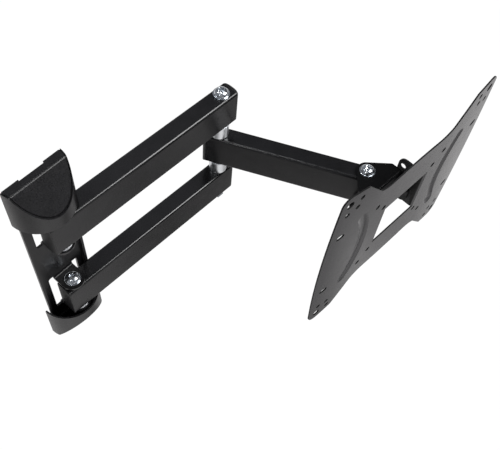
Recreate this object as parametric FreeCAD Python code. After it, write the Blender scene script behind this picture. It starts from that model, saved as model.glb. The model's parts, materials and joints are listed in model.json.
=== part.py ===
import FreeCAD, Part
import math
import os

# Full motion wall mount for a flat screen, in millimetres.
# +Z is up, +Y runs into the wall and the room is on the -Y side. The wall is the plane y = 0,
# the shoulder axis stands at x = 0, and z = 0 lies midway between the two arms.
# Pieces of a moving body are drawn in that body's own frame, with its pivot at the origin and
# its length along +X, and then turned and carried to their place.

Vector = FreeCAD.Vector

# ---------------------------------------------------------------- driving dimensions
# Headings of the arms, the forearm and the plate, in degrees from straight out of the wall
ARM_HEADING = 87.4
FOREARM_HEADING = 24.2
PLATE_HEADING = -4.8

# Reach
ARM_LENGTH = 199.7         # shoulder axis to elbow axis
FOREARM_LENGTH = 154.7     # elbow axis to swivel axis
SHOULDER_OUT = 16.0        # wall to shoulder axis
PLATE_OUT = 45.8           # swivel axis to the plate's front face
PLATE_RISE = 7.6           # plate's centre above the forearm's centre line

# Rectangular tube of the arms and the forearm
TUBE_HEIGHT = 40.0
TUBE_WIDTH = 20.0
TUBE_WALL = 1.5
TUBE_CORNER = 3.0
ARM_PAST_SHOULDER = 11.0   # tube beyond a pivot axis, without its end plug
ARM_PAST_ELBOW = 11.8
FOREARM_PAST_ELBOW = 11.4
FOREARM_PAST_SWIVEL = 10.3

# Plastic end plugs
PLUG_LIP = 1.2             # flat plug: thickness outside the tube
PLUG_CHAMFER = 0.4
PLUG_NOSE = 4.0            # rounded plug: thickness outside the tube
PLUG_NOSE_CORNER = 4.5
PLUG_SKIN = 1.4
PLUG_FIT = 0.1             # plug's shank to the tube's inner wall
PLUG_TO_HOLE = 0.4         # plug's shank to the nearest pivot hole

# Pivot hardware
BOLT_R = 4.0
BOLT_CLEARANCE = 0.1       # bolt in a plain hole
RUN_CLEARANCE = 0.05       # radial clearance of a bolt in a bush
SLIDE_GAP = 0.05           # axial gap between faces that turn on each other
BUSH_WALL = 2.0
BUSH_SEAT = 0.05           # bush's barrel to its hole in the tube
BUSH_DEPTH = 8.0
BUSH_FLANGE = 0.5
BUSH_FLANGE_R = 8.5
THRUST_WASHER_R = 10.5
THRUST_WASHER = 1.5
DOME_R = 8.0
DOME_RIM = 1.2
DOME_HEIGHT = 5.2
SOCKET_FLATS = 5.0
SOCKET_DEPTH = 2.6
NUT_FLATS = 13.0
NUT_HEIGHT = 6.5
NUT_COLLAR = 1.5
NUT_COLLAR_R = 5.6
NUT_WASHER_R = 8.4
NUT_WASHER = 1.6
BOLT_TAIL = 2.0            # thread that stands out of a nut
SPACER_R = 8.0
SPACER_LENGTH = 16.25
SLEEVE_R = 6.0

# Bent sheet of the wall bracket and the head bracket
SHEET = 2.5
BEND_IN = 1.5              # inner bend radius

# Wall bracket
CHANNEL_WIDTH = 55.0
CHANNEL_HEIGHT = 236.0
CHANNEL_FLANGE = 5.8       # flange height, from the wall
EAR_WIDTH = 23.0
EAR_BEND_IN = 2.0
WINDOW_WIDTH = 35.0
WINDOW_RELIEF = 3.2        # window's edge beyond an ear's outer face
WINDOW_CORNER = 2.5
WALL_SLOT_X = 14.0
WALL_SLOT_INSET = 8.5      # slot's centre to the bracket's end
WALL_SLOT_LENGTH = 12.0
WALL_SLOT_WIDTH = 7.0

# Half round caps on the ends of the wall bracket
CAP_R = 30.5
CAP_WALL = 1.9
CAP_HEADROOM = 8.0         # ledge beyond the bracket's end
CAP_HEIGHT = 46.0          # ledge to the open rim
CAP_LEDGE = 9.0            # depth of the level ledge, from the wall
CAP_FALL = 1.5             # fall of the slanted face for each millimetre towards the room
CAP_RIDGE_R = 2.5          # rounding between the ledge and the slanted face
CAP_GROOVE_WIDTH = 1.2
CAP_GROOVE_DEPTH = 1.0
CAP_GROOVE_INSET = 0.5
CAP_NOTCH_WIDTH = 25.0
CAP_NOTCH_DEPTH = 1.6
CAP_RIB_DEPTH = 5.0
CAP_RIB_THICKNESS = 2.0
CAP_RIB_END = 6.0          # rib's ends from the rim and from the ledge

# Head bracket, which turns on the forearm and holds the tilt screws
HEAD_WEB_OUT = 25.0        # swivel axis to the web's front face
HEAD_WIDTH = 53.0          # width of the tongues at the web
HEAD_NOSE_R = 10.8
HEAD_SHOULDER_R = 4.0
CHEEK_WIDTH = 59.0         # over the outer faces of the cheeks
CHEEK_FRONT = 38.0         # swivel axis to the cheeks' front edge
CHEEK_TOP_INSET = 2.55     # cheek's top below the upper tongue's face
CHEEK_BOTTOM_INSET = 4.85
CHEEK_TOP_CORNER = 6.0
CHEEK_BOTTOM_CORNER = 8.0

# Tilt joint
TILT_OUT = 32.5            # swivel axis to tilt axis
TILT_CLAMP_INSET = 6.5     # clamp screw below the cheek's top
TILT_SCREW_R = 3.0
TILT_RUN_CLEARANCE = 0.08
TILT_SLOT_CLEARANCE = 0.2
TILT_DISC_R = 6.0
TILT_WASHER_R = 6.2
TILT_WASHER = 1.2
TILT_HEAD_R = 5.25
TILT_HEAD_HEIGHT = 3.3
TILT_HEAD_RIM = 0.8
TILT_SOCKET_FLATS = 4.0
TILT_SOCKET_DEPTH = 1.8
TILT_NUT_FLATS = 10.0
TILT_NUT_HEIGHT = 5.0
TILT_TAIL = 1.0
TILT_FORWARD = 15.0        # degrees, the plate's top comes towards the room
TILT_BACK = 5.0
TILT_END_PLAY = 0.5        # degrees left at each end of the clamp screw's slot

# Screen plate
PLATE_SHEET = 1.5
PLATE_CORNER_X = 108.9     # outer corner of a wing
PLATE_CORNER_Z = 114.0
PLATE_CORNER_R = 10.0
PLATE_SIDE_BOW = 9.8       # crown of the bowed side beyond the corners, before its arc rounds it
PLATE_SIDE_STRAIGHT = 23.0 # straight end of the side
WING_ROOT_X = 53.4         # where a wing leaves the bar
WING_ROOT_Z = 78.7
WING_ROOT_R = 9.0
WING_TIP_X = 78.0          # inner corner of a wing
WING_TIP_Z = 107.4
WING_TIP_R = 5.0
BAR_END_X = 43.0
BAR_END_Z = 73.8
BAR_END_R = 36.0
BAR_CROWN = 2.7            # crown of the bar's edge above its ends, before its arc rounds it
BAR_STRAIGHT = 8.0         # straight end of the bar's edge
PLATE_WINDOW_HEIGHT = 60.0
WING_ROLL_X = 50.0         # from here outwards the wings curve back
WING_ROLL_R = 660.0
BEAD_MID_X = 61.0          # pressed bead: nearest to the centre, and at its ends
BEAD_END_X = 73.0
BEAD_END_Z = 56.0
BEAD_WIDTH = 14.0
BEAD_DEPTH = 2.2

# Tilt ears, folded back out of the plate's window
EAR_INNER_X = 30.0
EAR_DEPTH = 30.5
EAR_HALF_HEIGHT = 28.0
EAR_CORNER_R = 8.0
EAR_HEEL_R = 2.0           # rounding at the foot of the heel
EAR_ELBOW_R = 12.0         # rounding where the heel meets the ear's far edge
EAR_HEEL_DEPTH = 11.5      # depth at the ear's foot
EAR_HEEL_RISE = 28.0       # height of the slanted heel
EAR_BEND = 1.5
EAR_HOLE_DEPTH = 24.6
EAR_HOLE_Z = 17.6
EAR_HOLE_R = 3.25

# Screw holes of the plate: (x, z, radius), each repeated in the four quarters
PLATE_HOLES = [
    (37.5, 37.5, 3.0),
    (50.0, 50.0, 3.0),
    (100.0, 100.0, 4.25),
    (100.0, 85.0, 2.8),
    (85.0, 99.0, 2.8),
    (88.0, 87.5, 2.8),
]
SIDE_SLOT_X = 100.0
SIDE_SLOT_Z = 50.0
SIDE_SLOT_LENGTH = 10.0
SIDE_SLOT_WIDTH = 6.0

# ---------------------------------------------------------------- derived sizes
BUSH_R = BOLT_R + RUN_CLEARANCE + BUSH_WALL
TUBE_HOLE_R = BUSH_R + BUSH_SEAT
PLAIN_HOLE_R = BOLT_R + BOLT_CLEARANCE
ARM_Z = TUBE_HEIGHT + BUSH_FLANGE + SLIDE_GAP + SPACER_LENGTH
EAR_INNER = TUBE_HEIGHT / 2 + BUSH_FLANGE + SLIDE_GAP + THRUST_WASHER
EAR_OUTER = EAR_INNER + SHEET
TONGUE_INNER = TUBE_HEIGHT / 2 + BUSH_FLANGE + SLIDE_GAP
TONGUE_OUTER = TONGUE_INNER + SHEET
WALL_SLOT_Z = CHANNEL_HEIGHT / 2 - WALL_SLOT_INSET
CAP_TOP = CHANNEL_HEIGHT / 2 + CAP_HEADROOM
CAP_RIM = CAP_TOP - CAP_HEIGHT
CHEEK_TOP = TONGUE_OUTER - CHEEK_TOP_INSET
CHEEK_BOTTOM = TONGUE_OUTER - CHEEK_BOTTOM_INSET
TILT_CLAMP_R = CHEEK_TOP - TILT_CLAMP_INSET


# ---------------------------------------------------------------- drawing helpers
def rounded_wire(corners):
    """Closed wire in the XY plane from (x, y, radius) corners, each rounded by a tangent arc."""
    count = len(corners)
    edges = []
    starts = []
    ends = []
    arcs = []
    for i in range(count):
        x, y, radius = corners[i]
        here = Vector(x, y, 0)
        before = Vector(corners[i - 1][0], corners[i - 1][1], 0) - here
        after = Vector(corners[(i + 1) % count][0], corners[(i + 1) % count][1], 0) - here
        before.normalize()
        after.normalize()
        if radius > 0:
            half = before.getAngle(after) / 2
            along = radius / math.tan(half)
            middle = before + after
            middle.normalize()
            centre = here + middle * (radius / math.sin(half))
            starts.append(here + before * along)
            ends.append(here + after * along)
            arcs.append(centre - middle * radius)
        else:
            starts.append(here)
            ends.append(here)
            arcs.append(None)
    for i in range(count):
        if arcs[i] is not None:
            edges.append(Part.Arc(starts[i], arcs[i], ends[i]).toShape())
        following = starts[(i + 1) % count]
        if ends[i].distanceToPoint(following) > 1e-6:
            edges.append(Part.LineSegment(ends[i], following).toShape())
    return Part.Wire(edges)


def prism(corners, z_low, z_high):
    """Outline in XY, extruded along Z."""
    face = Part.Face(rounded_wire(corners))
    face.translate(Vector(0, 0, z_low))
    return face.extrude(Vector(0, 0, z_high - z_low))


def prism_along_x(corners, x_low, x_high):
    """Outline given as (y, z, radius), extruded along X."""
    shape = prism(corners, x_low, x_high)
    shape.rotate(Vector(0, 0, 0), Vector(1, 1, 1), 120)
    return shape


def prism_along_y(corners, y_low, y_high):
    """Outline given as (x, z, radius), extruded along Y."""
    shape = prism(corners, -y_high, -y_low)
    shape.rotate(Vector(0, 0, 0), Vector(1, 0, 0), 90)
    return shape


def rectangle(x_low, x_high, y_low, y_high, radius=0.0):
    """Corner list of a rectangle with equal corner radii."""
    return [(x_low, y_low, radius), (x_high, y_low, radius), (x_high, y_high, radius), (x_low, y_high, radius)]


def box(x_low, x_high, y_low, y_high, z_low, z_high):
    return Part.makeBox(x_high - x_low, y_high - y_low, z_high - z_low, Vector(x_low, y_low, z_low))


def rod(radius, z_low, z_high, x=0.0, y=0.0):
    return Part.makeCylinder(radius, z_high - z_low, Vector(x, y, z_low))


def ring(outer, inner, z_low, z_high):
    return rod(outer, z_low, z_high).cut(rod(inner, z_low, z_high))


def hexagon(flats, z_low, z_high):
    corner = flats / math.sqrt(3)
    points = [(corner * math.cos(math.radians(60 * k)), corner * math.sin(math.radians(60 * k)), 0)
              for k in range(6)]
    return prism(points, z_low, z_high)


def slot(length, width, z_low, z_high, x, y):
    """Slot with round ends, along X, centred on (x, y)."""
    corners = rectangle(x - length / 2, x + length / 2, y - width / 2, y + width / 2, width / 2)
    return prism(corners, z_low, z_high)


def mirrored_z(shape):
    return shape.mirror(Vector(0, 0, 0), Vector(0, 0, 1))


def lifted(shape, height):
    moved = shape.copy()
    moved.translate(Vector(0, 0, height))
    return moved


def heading(degrees):
    """Unit vector in plan for a heading, measured from straight out of the wall."""
    angle = math.radians(degrees)
    return Vector(math.sin(angle), -math.cos(angle), 0)


def placed(shape, degrees, pivot):
    """Turn a body's local +X to the heading and carry its origin to the pivot."""
    moved = shape.copy()
    moved.rotate(Vector(0, 0, 0), Vector(0, 0, 1), degrees - 90)
    moved.translate(pivot)
    return moved


SHOULDER = Vector(0, -SHOULDER_OUT, 0)
ELBOW = SHOULDER + heading(ARM_HEADING) * ARM_LENGTH
SWIVEL = ELBOW + heading(FOREARM_HEADING) * FOREARM_LENGTH


# ---------------------------------------------------------------- fasteners
def domed_head(radius, rim, height, flats, depth):
    """Button head standing on z = 0, with a hexagon socket in its crown."""
    start = Vector(radius, 0, rim)
    crown = Vector(0, 0, height)
    rise = height - rim
    sphere = (radius ** 2 + rise ** 2) / (2 * rise)
    angle = math.asin(radius / sphere) / 2
    middle = Vector(sphere * math.sin(angle), 0, height - sphere * (1 - math.cos(angle)))
    profile = Part.Wire([
        Part.LineSegment(Vector(0, 0, 0), Vector(radius, 0, 0)).toShape(),
        Part.LineSegment(Vector(radius, 0, 0), start).toShape(),
        Part.Arc(start, middle, crown).toShape(),
        Part.LineSegment(crown, Vector(0, 0, 0)).toShape(),
    ])
    head = Part.Face(profile).revolve(Vector(0, 0, 0), Vector(0, 0, 1), 360)
    return head.cut(hexagon(flats, height - depth, height + 1))


def pivot_bolt(z_head, z_tail):
    """Bolt whose domed head stands on z_head and whose thread ends at z_tail."""
    head = domed_head(DOME_R, DOME_RIM, DOME_HEIGHT, SOCKET_FLATS, SOCKET_DEPTH)
    return lifted(head, z_head).fuse(rod(BOLT_R, z_tail, z_head)).removeSplitter()


def lock_nut(z_top):
    """Hexagon lock nut that hangs from z_top, with its nylon collar below."""
    nut = hexagon(NUT_FLATS, z_top - NUT_HEIGHT, z_top)
    collar = rod(NUT_COLLAR_R, z_top - NUT_HEIGHT - NUT_COLLAR, z_top - NUT_HEIGHT)
    bore = rod(BOLT_R + RUN_CLEARANCE, z_top - NUT_HEIGHT - NUT_COLLAR, z_top)
    return nut.fuse(collar).cut(bore)


def nut_stack(z_seat):
    """Washer, lock nut and the height of the bolt's tail below a seat."""
    washer = ring(NUT_WASHER_R, PLAIN_HOLE_R, z_seat - NUT_WASHER, z_seat)
    nut = lock_nut(z_seat - NUT_WASHER)
    tail = z_seat - NUT_WASHER - NUT_HEIGHT - NUT_COLLAR - BOLT_TAIL
    return washer, nut, tail


def flanged_bush():
    """Top hat bush for the upper wall of a tube centred on z = 0."""
    top = TUBE_HEIGHT / 2
    barrel = rod(BUSH_R, top - BUSH_DEPTH, top)
    flange = rod(BUSH_FLANGE_R, top, top + BUSH_FLANGE)
    bore = rod(BOLT_R + RUN_CLEARANCE, top - BUSH_DEPTH, top + BUSH_FLANGE)
    return barrel.fuse(flange).cut(bore)


# ---------------------------------------------------------------- tubes and plugs
def tube_outline(inset, radius):
    half_width = TUBE_WIDTH / 2 - inset
    half_height = TUBE_HEIGHT / 2 - inset
    return rectangle(-half_width, half_width, -half_height, half_height, radius)


def tube(x_low, x_high, holes):
    """Rectangular tube along X, with vertical holes given as (x, radius)."""
    outer = prism_along_x(tube_outline(0, TUBE_CORNER), x_low, x_high)
    inner = prism_along_x(tube_outline(TUBE_WALL, 0), x_low - 1, x_high + 1)
    shape = outer.cut(inner)
    for x, radius in holes:
        shape = shape.cut(rod(radius, -TUBE_HEIGHT, TUBE_HEIGHT, x))
    return shape


def plug_shank(length):
    """Hollow shank of an end plug, from x = 0 back into the tube."""
    inset = TUBE_WALL + PLUG_FIT
    solid = prism_along_x(tube_outline(inset, 0), -length, 0)
    hollow = prism_along_x(tube_outline(inset + PLUG_SKIN, 0), -length - 1, 0)
    return solid.cut(hollow)


def flat_plug(overhang, hole_r):
    """Plug with a thin lip. x = 0 is the tube's end and +X points out of the tube."""
    lip = prism_along_x(tube_outline(0, TUBE_CORNER), 0, PLUG_LIP)
    rim = [edge for edge in lip.Edges if edge.BoundBox.XMin > PLUG_LIP - 1e-3]
    lip = lip.makeChamfer(PLUG_CHAMFER, rim)
    return lip.fuse(plug_shank(overhang - hole_r - PLUG_TO_HOLE))


def nose_plug(overhang, hole_r):
    """Plug whose outer end is a thick, softly rounded nose."""
    plan = [(0, -TUBE_WIDTH / 2, 0), (PLUG_NOSE, -TUBE_WIDTH / 2, PLUG_NOSE_CORNER - 0.6),
            (PLUG_NOSE, TUBE_WIDTH / 2, PLUG_NOSE_CORNER - 0.6), (0, TUBE_WIDTH / 2, 0)]
    nose = prism(plan, -TUBE_HEIGHT / 2, TUBE_HEIGHT / 2)
    section = prism_along_x(tube_outline(0, TUBE_CORNER), 0, PLUG_NOSE)
    nose = nose.common(section)
    return nose.fuse(plug_shank(overhang - hole_r - PLUG_TO_HOLE))


# ---------------------------------------------------------------- wall bracket
def arm_ears():
    """The two ears that hold an arm centred on z = 0, folded out of the web of the bracket."""
    bend_out = EAR_BEND_IN + SHEET
    leg_top = EAR_OUTER + WINDOW_RELIEF + SHEET
    tip = -SHOULDER_OUT - EAR_WIDTH / 2
    side = [(0, leg_top, 0), (-SHEET, leg_top, 0), (-SHEET, EAR_OUTER, EAR_BEND_IN),
            (tip, EAR_OUTER, 0), (tip, EAR_INNER, 0), (0, EAR_INNER, bend_out)]
    ear = prism_along_x(side, -EAR_WIDTH / 2, EAR_WIDTH / 2)
    plan = [(-EAR_WIDTH / 2, 1, 0), (-EAR_WIDTH / 2, tip, EAR_WIDTH / 2),
            (EAR_WIDTH / 2, tip, EAR_WIDTH / 2), (EAR_WIDTH / 2, 1, 0)]
    ear = ear.common(prism(plan, 0, leg_top + 1))
    ear = ear.cut(rod(PLAIN_HOLE_R, 0, leg_top, 0, -SHOULDER_OUT))
    return ear.fuse(mirrored_z(ear))


def wall_bracket():
    half = CHANNEL_WIDTH / 2
    corner = BEND_IN + SHEET
    plan = [(-half, 0, corner), (-half, -CHANNEL_FLANGE, 0), (-half + SHEET, -CHANNEL_FLANGE, 0),
            (-half + SHEET, -SHEET, BEND_IN), (half - SHEET, -SHEET, BEND_IN),
            (half - SHEET, -CHANNEL_FLANGE, 0), (half, -CHANNEL_FLANGE, 0), (half, 0, corner)]
    channel = prism(plan, -CHANNEL_HEIGHT / 2, CHANNEL_HEIGHT / 2)
    front = [(-half, -CHANNEL_HEIGHT / 2, 5), (half, -CHANNEL_HEIGHT / 2, 5),
             (half, CHANNEL_HEIGHT / 2, 5), (-half, CHANNEL_HEIGHT / 2, 5)]
    channel = channel.common(prism_along_y(front, -CHANNEL_FLANGE - 1, 1))
    window_half = EAR_OUTER + WINDOW_RELIEF
    for z_arm in (ARM_Z, -ARM_Z):
        window = rectangle(-WINDOW_WIDTH / 2, WINDOW_WIDTH / 2, z_arm - window_half, z_arm + window_half,
                           WINDOW_CORNER)
        channel = channel.cut(prism_along_y(window, -SHEET - 1, 1))
    for z_slot in (WALL_SLOT_Z, -WALL_SLOT_Z):
        for x_slot in (-WALL_SLOT_X, WALL_SLOT_X):
            hole = slot(WALL_SLOT_LENGTH, WALL_SLOT_WIDTH, -1, SHEET + 1, x_slot, z_slot)
            hole.rotate(Vector(0, 0, 0), Vector(1, 0, 0), 90)
            channel = channel.cut(hole)
    for z_arm in (ARM_Z, -ARM_Z):
        channel = channel.fuse(lifted(arm_ears(), z_arm))
    return channel.removeSplitter()


def half_disc(radius, z_low, z_high):
    """Half cylinder against the wall, on the room side."""
    return rod(radius, z_low, z_high).common(box(-radius, radius, -radius, 0, z_low, z_high))


def below_cap_face(inset):
    """Everything under the ledge and the slanted face, both moved inwards by an inset."""
    slant = inset * math.sqrt(1 + CAP_FALL ** 2)
    ledge = CAP_TOP - inset
    kink = -CAP_LEDGE + (slant - inset) / CAP_FALL
    far = -2 * CAP_R
    floor = CAP_RIM - 2 * CAP_FALL * CAP_R
    side = [(CAP_R, ledge, 0), (kink, ledge, max(CAP_RIDGE_R - inset, 0)),
            (far, ledge + (far - kink) * CAP_FALL, 0), (far, floor, 0), (CAP_R, floor, 0)]
    return prism_along_x(side, -2 * CAP_R, 2 * CAP_R)


def top_cap():
    inner_r = CAP_R - CAP_WALL
    outer = half_disc(CAP_R, CAP_RIM, CAP_TOP).common(below_cap_face(0))
    hollow = rod(inner_r, CAP_RIM - 1, CAP_TOP).common(below_cap_face(CAP_WALL))
    hollow = hollow.common(box(-CAP_R, CAP_R, -CAP_R, 1, CAP_RIM - 1, CAP_TOP))
    cap = outer.cut(hollow)
    groove_out = CAP_R - CAP_GROOVE_INSET
    groove = ring(groove_out, groove_out - CAP_GROOVE_WIDTH, CAP_RIM, CAP_TOP + 1)
    groove = groove.common(box(-CAP_R, CAP_R, -CAP_R, 1, CAP_RIM, CAP_TOP + 1))
    cap = cap.cut(groove.cut(below_cap_face(CAP_GROOVE_DEPTH)))
    half_notch = CAP_NOTCH_WIDTH / 2
    notch = box(-half_notch, half_notch, -CAP_NOTCH_DEPTH, 1, CAP_TOP - CAP_WALL - 1, CAP_TOP + 1)
    cap = cap.cut(notch)
    rib_out = CAP_R - CAP_WALL / 2
    rib = box(CHANNEL_WIDTH / 2, rib_out, -CAP_RIB_DEPTH - CAP_RIB_THICKNESS, -CAP_RIB_DEPTH,
              CAP_RIM + CAP_RIB_END, CAP_TOP - CAP_RIB_END).common(rod(rib_out, CAP_RIM, CAP_TOP))
    cap = cap.fuse(rib).fuse(rib.mirror(Vector(0, 0, 0), Vector(1, 0, 0)))
    return cap.removeSplitter()


def shoulder_hardware():
    """Bolt, thrust washers, nut washer and nut of one arm centred on z = 0."""
    washer, nut, tail = nut_stack(-EAR_OUTER)
    bolt = pivot_bolt(EAR_OUTER, tail)
    thrust = ring(THRUST_WASHER_R, PLAIN_HOLE_R, EAR_INNER - THRUST_WASHER, EAR_INNER)
    return bolt, thrust.fuse(mirrored_z(thrust)), washer, nut


def wall_body():
    bolt, thrust, washer, nut = shoulder_hardware()

    def pair(shape):
        both = Part.makeCompound([lifted(shape, ARM_Z), lifted(shape, -ARM_Z)])
        both.translate(SHOULDER)
        return both

    cap = top_cap()
    return {
        "wall_bracket": wall_bracket(),
        "top_cap": cap,
        "bottom_cap": mirrored_z(cap),
        "shoulder_bolts": pair(bolt),
        "shoulder_thrust_washers": pair(thrust),
        "shoulder_nut_washers": pair(washer),
        "shoulder_lock_nuts": pair(nut),
    }


# ---------------------------------------------------------------- the pair of arms
def arm_body():
    holes = [(0, TUBE_HOLE_R), (ARM_LENGTH, PLAIN_HOLE_R)]
    arm = tube(-ARM_PAST_SHOULDER, ARM_LENGTH + ARM_PAST_ELBOW, holes)
    wall_plug = flat_plug(ARM_PAST_SHOULDER, TUBE_HOLE_R)
    wall_plug.rotate(Vector(0, 0, 0), Vector(0, 0, 1), 180)
    wall_plug.translate(Vector(-ARM_PAST_SHOULDER, 0, 0))
    elbow_plug = nose_plug(ARM_PAST_ELBOW, SLEEVE_R)
    elbow_plug.translate(Vector(ARM_LENGTH + ARM_PAST_ELBOW, 0, 0))
    bush = flanged_bush()
    sleeve_half = TUBE_HEIGHT / 2 - TUBE_WALL
    sleeve = ring(SLEEVE_R, PLAIN_HOLE_R, -sleeve_half, sleeve_half)
    arm_top = ARM_Z + TUBE_HEIGHT / 2
    top_washer = ring(NUT_WASHER_R, PLAIN_HOLE_R, arm_top, arm_top + NUT_WASHER)
    low_washer, nut, tail = nut_stack(-arm_top)
    bolt = pivot_bolt(arm_top + NUT_WASHER, tail)
    spacer_low = TONGUE_INNER
    spacer = ring(SPACER_R, PLAIN_HOLE_R, spacer_low, spacer_low + SPACER_LENGTH)

    def both(shape):
        return Part.makeCompound([lifted(shape, ARM_Z), lifted(shape, -ARM_Z)])

    at_elbow = Vector(ARM_LENGTH, 0, 0)
    for shape in (sleeve, top_washer, low_washer, nut, bolt, spacer):
        shape.translate(at_elbow)
    pieces = {
        "upper_arm_tube": lifted(arm, ARM_Z),
        "lower_arm_tube": lifted(arm, -ARM_Z),
        "arm_wall_plugs": both(wall_plug),
        "arm_elbow_plugs": both(elbow_plug),
        "shoulder_bushes": both(Part.makeCompound([bush, mirrored_z(bush)])),
        "elbow_sleeves": both(sleeve),
        "elbow_bolt": bolt,
        "elbow_washers": Part.makeCompound([top_washer, low_washer]),
        "elbow_lock_nut": nut,
        "upper_elbow_spacer": spacer,
        "lower_elbow_spacer": mirrored_z(spacer),
    }
    return {name: placed(shape, ARM_HEADING, SHOULDER) for name, shape in pieces.items()}


# ---------------------------------------------------------------- forearm
def forearm_body():
    holes = [(0, TUBE_HOLE_R), (FOREARM_LENGTH, TUBE_HOLE_R)]
    bar = tube(-FOREARM_PAST_ELBOW, FOREARM_LENGTH + FOREARM_PAST_SWIVEL, holes)
    elbow_plug = nose_plug(FOREARM_PAST_ELBOW, TUBE_HOLE_R)
    elbow_plug.rotate(Vector(0, 0, 0), Vector(0, 0, 1), 180)
    elbow_plug.translate(Vector(-FOREARM_PAST_ELBOW, 0, 0))
    head_plug = flat_plug(FOREARM_PAST_SWIVEL, TUBE_HOLE_R)
    head_plug.translate(Vector(FOREARM_LENGTH + FOREARM_PAST_SWIVEL, 0, 0))
    bush = flanged_bush()
    elbow_bushes = Part.makeCompound([bush, mirrored_z(bush)])
    swivel_bushes = elbow_bushes.copy()
    swivel_bushes.translate(Vector(FOREARM_LENGTH, 0, 0))
    pieces = {
        "forearm_tube": bar,
        "forearm_elbow_plug": elbow_plug,
        "forearm_head_plug": head_plug,
        "elbow_bushes": elbow_bushes,
        "swivel_bushes": swivel_bushes,
    }
    return {name: placed(shape, FOREARM_HEADING, ELBOW) for name, shape in pieces.items()}


# ---------------------------------------------------------------- head
def head_bracket():
    """Bent sheet: two tongues round the forearm, a web, and two cheeks towards the plate."""
    bend_out = BEND_IN + SHEET
    web_back = HEAD_WEB_OUT - SHEET
    start = -HEAD_NOSE_R - 1
    side = [(start, TONGUE_OUTER, 0), (HEAD_WEB_OUT, TONGUE_OUTER, bend_out),
            (HEAD_WEB_OUT, -TONGUE_OUTER, bend_out), (start, -TONGUE_OUTER, 0),
            (start, -TONGUE_INNER, 0), (web_back, -TONGUE_INNER, BEND_IN),
            (web_back, TONGUE_INNER, BEND_IN), (start, TONGUE_INNER, 0)]
    half = HEAD_WIDTH / 2
    clasp = prism_along_y(side, -half, half)
    apex = -HEAD_NOSE_R * math.sqrt(2)
    shoulder = half + apex
    plan = [(HEAD_WEB_OUT + 1, half, 0), (shoulder, half, HEAD_SHOULDER_R), (apex, 0, HEAD_NOSE_R),
            (shoulder, -half, HEAD_SHOULDER_R), (HEAD_WEB_OUT + 1, -half, 0)]
    clasp = clasp.common(prism(plan, -TONGUE_OUTER, TONGUE_OUTER))
    cheek = CHEEK_WIDTH / 2
    inside = cheek - SHEET
    yoke = [(web_back, -cheek, bend_out), (CHEEK_FRONT, -cheek, 0), (CHEEK_FRONT, -inside, 0),
            (HEAD_WEB_OUT, -inside, BEND_IN), (HEAD_WEB_OUT, inside, BEND_IN), (CHEEK_FRONT, inside, 0),
            (CHEEK_FRONT, cheek, 0), (web_back, cheek, bend_out)]
    yoke = prism(yoke, -CHEEK_BOTTOM, CHEEK_TOP)
    cheek_side = [(0, -CHEEK_BOTTOM, 0), (CHEEK_FRONT, -CHEEK_BOTTOM, CHEEK_BOTTOM_CORNER),
                  (CHEEK_FRONT, CHEEK_TOP, CHEEK_TOP_CORNER), (0, CHEEK_TOP, 0)]
    yoke = yoke.common(prism_along_y(cheek_side, -cheek - 1, cheek + 1))
    bracket = clasp.fuse(yoke).cut(rod(PLAIN_HOLE_R, -TONGUE_OUTER - 1, TONGUE_OUTER + 1))
    for height in (0, TILT_CLAMP_R):
        hole = Part.makeCylinder(TILT_SCREW_R + BOLT_CLEARANCE, CHEEK_WIDTH + 2,
                                 Vector(TILT_OUT, -cheek - 1, height), Vector(0, 1, 0))
        bracket = bracket.cut(hole)
    return bracket.removeSplitter()


def on_tilt_axis(shape, height):
    """Stand a fastener that points along +Z on the right hand side, at a height above the axis."""
    moved = shape.copy()
    moved.rotate(Vector(0, 0, 0), Vector(1, 0, 0), -90)
    moved.translate(Vector(TILT_OUT, 0, height))
    return moved


def left_and_right(shape):
    return Part.makeCompound([shape, shape.mirror(Vector(0, 0, 0), Vector(0, 1, 0))])


def tilt_hardware():
    """Screws, washers, nuts and friction discs that hold the plate's ears to the cheeks."""
    cheek = CHEEK_WIDTH / 2
    ear_outer = EAR_INNER_X + PLATE_SHEET
    washer_top = ear_outer + SLIDE_GAP + TILT_WASHER
    nut_top = cheek - SHEET
    tail = nut_top - TILT_NUT_HEIGHT - TILT_TAIL
    head = lifted(domed_head(TILT_HEAD_R, TILT_HEAD_RIM, TILT_HEAD_HEIGHT, TILT_SOCKET_FLATS,
                             TILT_SOCKET_DEPTH), washer_top)
    screw = head.fuse(rod(TILT_SCREW_R, tail, washer_top)).removeSplitter()
    washer = ring(TILT_WASHER_R, TILT_SCREW_R + BOLT_CLEARANCE, ear_outer + SLIDE_GAP, washer_top)
    nut = hexagon(TILT_NUT_FLATS, nut_top - TILT_NUT_HEIGHT, nut_top)
    nut = nut.cut(rod(TILT_SCREW_R + RUN_CLEARANCE, 0, nut_top))
    disc = ring(TILT_DISC_R, TILT_SCREW_R + BOLT_CLEARANCE, cheek, EAR_INNER_X - SLIDE_GAP)
    return screw, washer, nut, disc


def head_body():
    washer, nut, tail = nut_stack(-TONGUE_OUTER)
    screw, tilt_washer, tilt_nut, disc = tilt_hardware()
    pivot = 0.0
    clamp = TILT_CLAMP_R

    def at(shape, height):
        return left_and_right(on_tilt_axis(shape, height))

    pieces = {
        "head_bracket": head_bracket(),
        "swivel_bolt": pivot_bolt(TONGUE_OUTER, tail),
        "swivel_washer": washer,
        "swivel_lock_nut": nut,
        "tilt_pivot_screws": at(screw, pivot),
        "tilt_clamp_screws": at(screw, clamp),
        "tilt_washers": Part.makeCompound([at(tilt_washer, pivot), at(tilt_washer, clamp)]),
        "tilt_nuts": Part.makeCompound([at(tilt_nut, pivot), at(tilt_nut, clamp)]),
        "tilt_friction_discs": at(disc, pivot),
    }
    return {name: placed(shape, PLATE_HEADING, SWIVEL) for name, shape in pieces.items()}


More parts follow.
